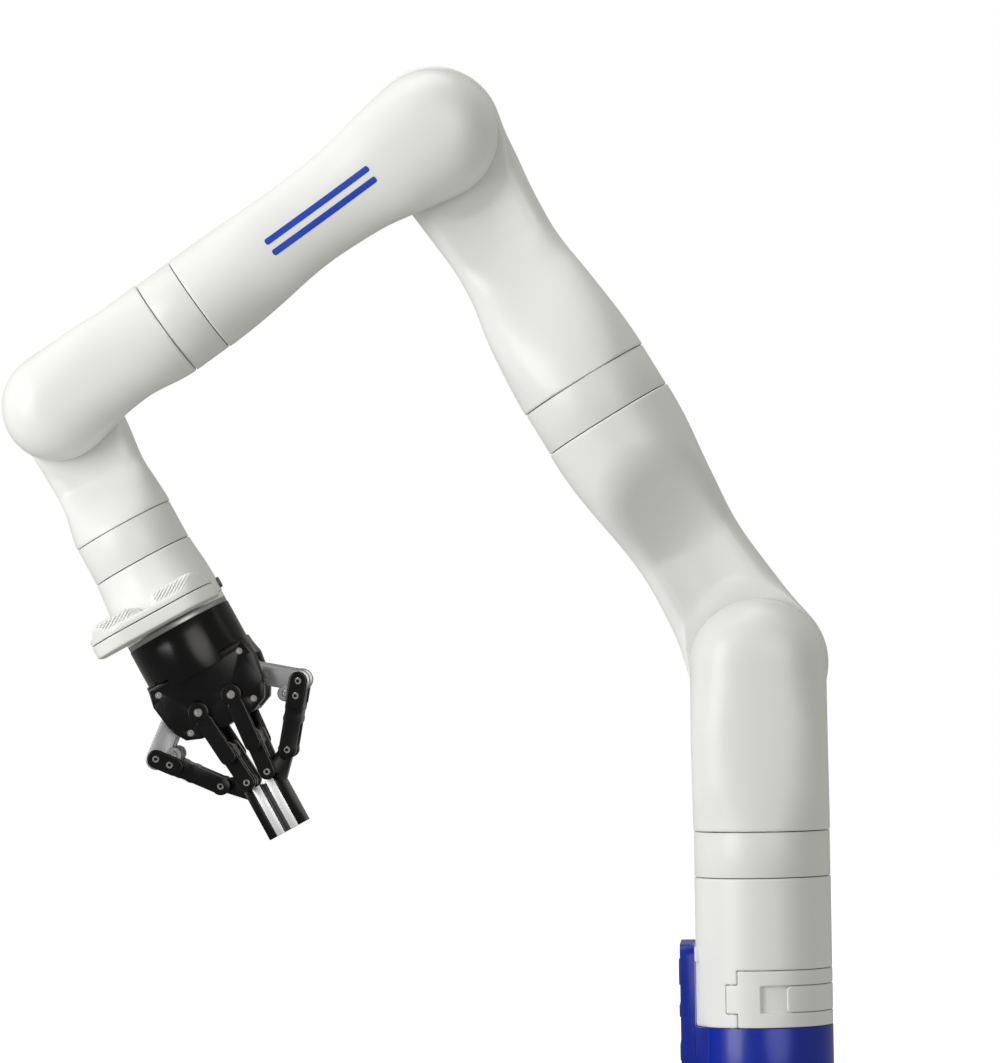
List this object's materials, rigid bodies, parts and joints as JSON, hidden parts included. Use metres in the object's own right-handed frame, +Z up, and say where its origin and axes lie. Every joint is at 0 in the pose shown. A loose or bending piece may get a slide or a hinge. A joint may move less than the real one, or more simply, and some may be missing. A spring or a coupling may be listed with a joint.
{
  "type": "collaborative robot arm",
  "caption": "Seven-axis collaborative robot arm with a clamped cylindrical base, rounded white links, a wrist camera module and a two-finger parallel gripper.",
  "frame": {"origin": "centre of the base's round bottom face, where it is bolted down", "axes": "+Z up along the base axis; +X towards the front of the base, away from its connector panel; the arm reaches over the panel towards -X; +Y away from the viewer"},
  "size_m": [0.5571, 0.1226, 0.6934],
  "materials": {
    "shell_white": "glossy",
    "ring_white": "satin white coat",
    "base_blue": "satin blue coat",
    "emblem_blue": "gloss",
    "port_dark": "matte",
    "steel": "brushed",
    "aluminium": "machined",
    "copper_winding": "wound wire",
    "button_grey": "matte",
    "window_black": "high gloss",
    "lens_glass": "polished",
    "coupling_grey": "bead blasted",
    "gripper_black": "black anodised",
    "driver_grey": "brushed",
    "pad_block": "bead blasted",
    "pad_rubber": "matte"
  },
  "bodies": {
    "base": {"base_housing": "base_blue", "connector_panel": "base_blue", "panel_ports": "port_dark", "base_shell": "shell_white", "clamp_collar": "shell_white", "clamp_pin": "steel", "actuator_1_housing": "ring_white", "actuator_1_stator": "copper_winding"},
    "clamp_band": {"clamp_band": "shell_white"},
    "clamp_lever": {"clamp_lever": "shell_white"},
    "shoulder": {"actuator_1_output": "aluminium", "shoulder_shell": "shell_white", "actuator_2_housing": "aluminium", "actuator_2_stator": "copper_winding"},
    "half_arm_1": {"actuator_2_output": "aluminium", "half_arm_1_shell": "shell_white", "actuator_3_housing": "ring_white", "actuator_3_stator": "copper_winding"},
    "half_arm_2": {"actuator_3_output": "aluminium", "half_arm_2_shell": "shell_white", "actuator_4_housing": "aluminium", "actuator_4_stator": "copper_winding"},
    "forearm": {"actuator_4_output": "aluminium", "forearm_shell": "shell_white", "forearm_emblem": "emblem_blue", "actuator_5_housing": "ring_white", "actuator_5_stator": "copper_winding"},
    "wrist_1": {"actuator_5_output": "aluminium", "wrist_1_shell": "shell_white", "actuator_6_housing": "aluminium", "actuator_6_stator": "copper_winding"},
    "wrist_2": {"actuator_6_output": "aluminium", "wrist_2_shell": "shell_white", "actuator_7_housing": "ring_white", "actuator_7_stator": "copper_winding"},
    "hand": {"actuator_7_output": "aluminium", "bracelet_shell": "shell_white", "vision_housing": "shell_white", "vision_window": "window_black", "vision_lenses": "lens_glass", "tool_flange": "ring_white", "gripper_coupling": "coupling_grey", "gripper_body": "gripper_black", "gripper_faceplates": "gripper_black", "gripper_screws": "steel", "gripper_drive": "copper_winding"},
    "bracelet_button": {"bracelet_button": "button_grey"},
    "left_link": {"left_driver": "driver_grey", "left_link": "gripper_black"},
    "right_link": {"right_driver": "driver_grey", "right_link": "gripper_black"},
    "left_inner": {"left_inner_knuckle": "gripper_black"},
    "right_inner": {"right_inner_knuckle": "gripper_black"},
    "left_finger": {"left_finger": "gripper_black", "left_pad_block": "pad_block", "left_pad": "pad_rubber"},
    "right_finger": {"right_finger": "gripper_black", "right_pad_block": "pad_block", "right_pad": "pad_rubber"}
  },
  "joints": [
    {"name": "joint_1", "type": "hinge", "parent": "base", "child": "shoulder", "pos_m": [0, 0, 0.1715], "axis": [0, 0, 1], "continuous": true},
    {"name": "joint_2", "type": "hinge", "parent": "shoulder", "child": "half_arm_1", "pos_m": [0, 0, 0.28481], "axis": [0, -1, 0], "range_deg": [-159.5, 68]},
    {"name": "joint_3", "type": "hinge", "parent": "half_arm_1", "child": "half_arm_2", "pos_m": [-0.11469, 0, 0.47804], "axis": [-0.5104, 0, 0.8599], "continuous": true},
    {"name": "joint_4", "type": "hinge", "parent": "half_arm_2", "child": "forearm", "pos_m": [-0.21475, 0, 0.64664], "axis": [0, -1, 0], "range_deg": [-234, 24]},
    {"name": "joint_5", "type": "hinge", "parent": "forearm", "child": "wrist_1", "pos_m": [-0.39768, 0, 0.51927], "axis": [-0.8207, 0, -0.5714], "continuous": true},
    {"name": "joint_6", "type": "hinge", "parent": "wrist_1", "child": "wrist_2", "pos_m": [-0.47273, 0, 0.467], "axis": [0, -1, 0], "range_deg": [-203.2, 37.3]},
    {"name": "joint_7", "type": "hinge", "parent": "wrist_2", "child": "hand", "pos_m": [-0.41695, 0, 0.36121], "axis": [0.4664, 0, -0.8846], "continuous": true},
    {"name": "grip", "type": "hinge", "parent": "hand", "child": "left_link", "pos_m": [-0.39604, 0.0016, 0.25602], "axis": [0.0463, 0.9986, 0.0244], "range_deg": [0, 45.8]},
    {"name": "right_driver_turn", "type": "hinge", "parent": "hand", "child": "right_link", "pos_m": [-0.34198, -0.0016, 0.28453], "axis": [-0.0463, -0.9986, -0.0244], "range_deg": [0, 45.8]},
    {"name": "left_knuckle_turn", "type": "hinge", "parent": "hand", "child": "left_inner", "pos_m": [-0.3772, 0.00066, 0.25861], "axis": [0.0463, 0.9986, 0.0244], "range_deg": [0, 45.8]},
    {"name": "right_knuckle_turn", "type": "hinge", "parent": "hand", "child": "right_inner", "pos_m": [-0.35476, -0.00066, 0.27044], "axis": [-0.0463, -0.9986, -0.0244], "range_deg": [0, 45.8]},
    {"name": "left_finger_tilt", "type": "hinge", "parent": "left_link", "child": "left_finger", "pos_m": [-0.36512, 0.00135, 0.20772], "axis": [0.0463, 0.9986, 0.0244], "range_deg": [-45.8, 0]},
    {"name": "right_finger_tilt", "type": "hinge", "parent": "right_link", "child": "right_finger", "pos_m": [-0.31959, -0.00135, 0.23173], "axis": [-0.0463, -0.9986, -0.0244], "range_deg": [-45.8, 0]},
    {"name": "clamp_band_swing", "type": "hinge", "parent": "base", "child": "clamp_band", "pos_m": [-0.02185, -0.03785, 0.06], "axis": [0, 0, -1], "range_deg": [0, 50]},
    {"name": "clamp_lever_swing", "type": "hinge", "parent": "clamp_band", "child": "clamp_lever", "pos_m": [0.04373, 0.00771, 0.06], "axis": [0, 0, 1], "range_deg": [0, 85]},
    {"name": "button_press", "type": "slide", "parent": "hand", "child": "bracelet_button", "axis": [-0.8846, 0, -0.4664], "range_m": [0, 0.001], "stiffness_N_per_m": 300}
  ],
  "couplings": [
    {"joint": "right_driver_turn", "follows": "grip", "ratio": 1},
    {"joint": "left_knuckle_turn", "follows": "grip", "ratio": 1},
    {"joint": "right_knuckle_turn", "follows": "grip", "ratio": 1},
    {"joint": "left_finger_tilt", "follows": "grip", "ratio": -1},
    {"joint": "right_finger_tilt", "follows": "grip", "ratio": -1}
  ]
}
